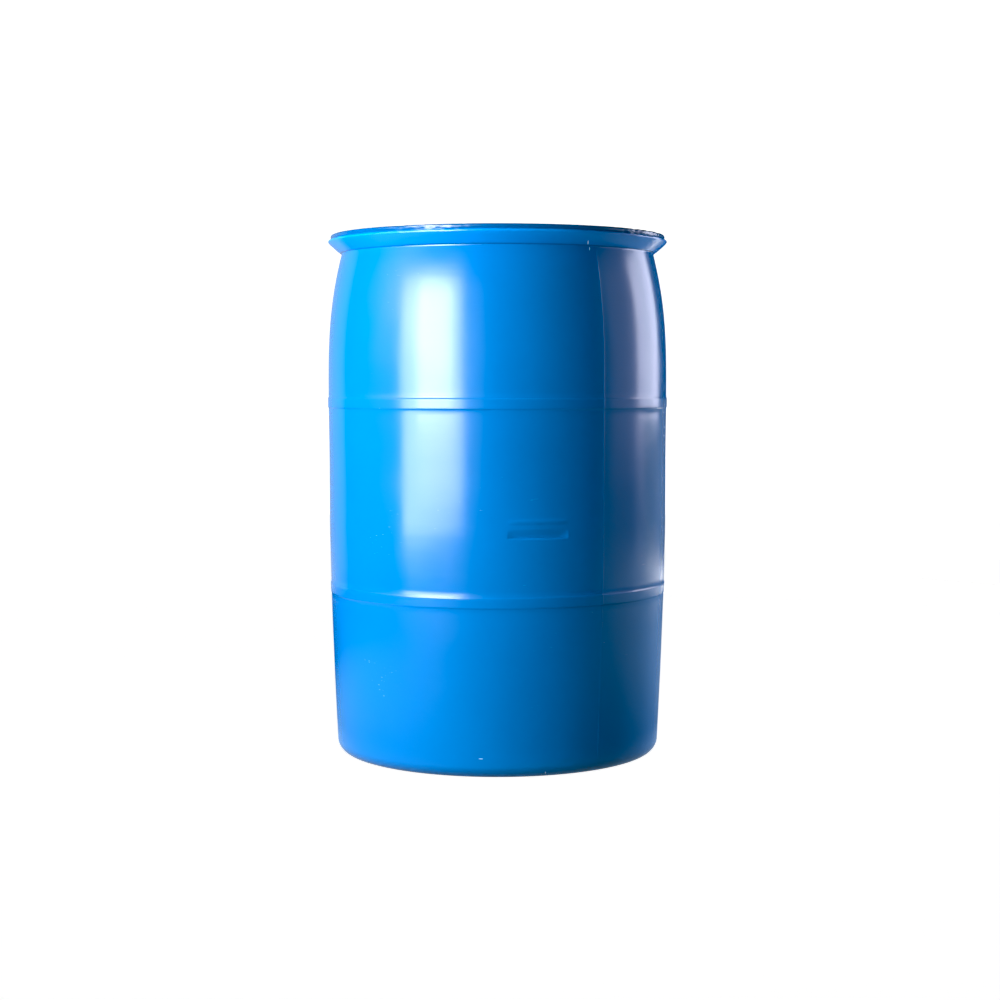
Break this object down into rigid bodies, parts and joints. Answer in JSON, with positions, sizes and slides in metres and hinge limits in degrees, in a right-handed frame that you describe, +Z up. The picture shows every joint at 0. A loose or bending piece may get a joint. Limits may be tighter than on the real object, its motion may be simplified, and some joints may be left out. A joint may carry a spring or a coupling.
{
  "type": "closed-head plastic drum",
  "caption": "Closed-head round plastic drum with a flared handling ring, two low rolling hoops, a recessed head and two screw-in bungs, one with a small reducer plug.",
  "frame": {"origin": "centre of the standing ring on the floor, on the drum's axis", "axes": "+Z up along the drum's axis; the front faces -Y; the coarse-thread bung is at -X and the pipe-thread bung at +X"},
  "size_m": [0.5861, 0.5862, 0.889],
  "materials": {
    "shell_plastic": "satin blue moulded polyethylene",
    "ring_plastic": "satin blue moulded polyethylene",
    "fitting_plastic": "satin blue injection-moulded polyethylene",
    "plug_plastic": "natural white injection-moulded polyethylene",
    "gasket_rubber": "black rubber"
  },
  "bodies": {
    "drum": {"shell_bottom": "shell_plastic", "shell_wall": "shell_plastic", "shell_head": "shell_plastic", "handling_ring": "ring_plastic", "buttress_insert": "fitting_plastic", "pipe_insert": "fitting_plastic"},
    "coarse_seal": {"buttress_gasket": "gasket_rubber"},
    "coarse_bung": {"buttress_plug": "plug_plastic"},
    "pipe_seal": {"pipe_gasket": "gasket_rubber"},
    "pipe_bung": {"pipe_plug": "plug_plastic"},
    "reducer_seal": {"reducer_gasket": "gasket_rubber"},
    "reducer_bung": {"reducer_plug": "plug_plastic"}
  },
  "joints": [
    {"name": "coarse_rise", "type": "slide", "parent": "drum", "child": "coarse_seal", "axis": [0, 0, 1], "range_m": [0, 0.0241]},
    {"name": "coarse_turn", "type": "hinge", "parent": "coarse_seal", "child": "coarse_bung", "pos_m": [-0.2, 0, 0.87], "axis": [0, 0, 1], "range_deg": [0, 2160]},
    {"name": "pipe_rise", "type": "slide", "parent": "drum", "child": "pipe_seal", "axis": [0, 0, 1], "range_m": [0, 0.0209]},
    {"name": "pipe_turn", "type": "hinge", "parent": "pipe_seal", "child": "pipe_bung", "pos_m": [0.2, 0, 0.87], "axis": [0, 0, 1], "range_deg": [0, 3240]},
    {"name": "reducer_rise", "type": "slide", "parent": "pipe_bung", "child": "reducer_seal", "axis": [0, 0, 1], "range_m": [0, 0.0164]},
    {"name": "reducer_turn", "type": "hinge", "parent": "reducer_seal", "child": "reducer_bung", "pos_m": [0.2, 0, 0.875], "axis": [0, 0, 1], "range_deg": [0, 3240]}
  ],
  "couplings": [
    {"joint": "coarse_rise", "follows": "coarse_turn", "m_per_rad": 0.00063662},
    {"joint": "pipe_rise", "follows": "pipe_turn", "m_per_rad": 0.00036765},
    {"joint": "reducer_rise", "follows": "reducer_turn", "m_per_rad": 0.00028807}
  ]
}
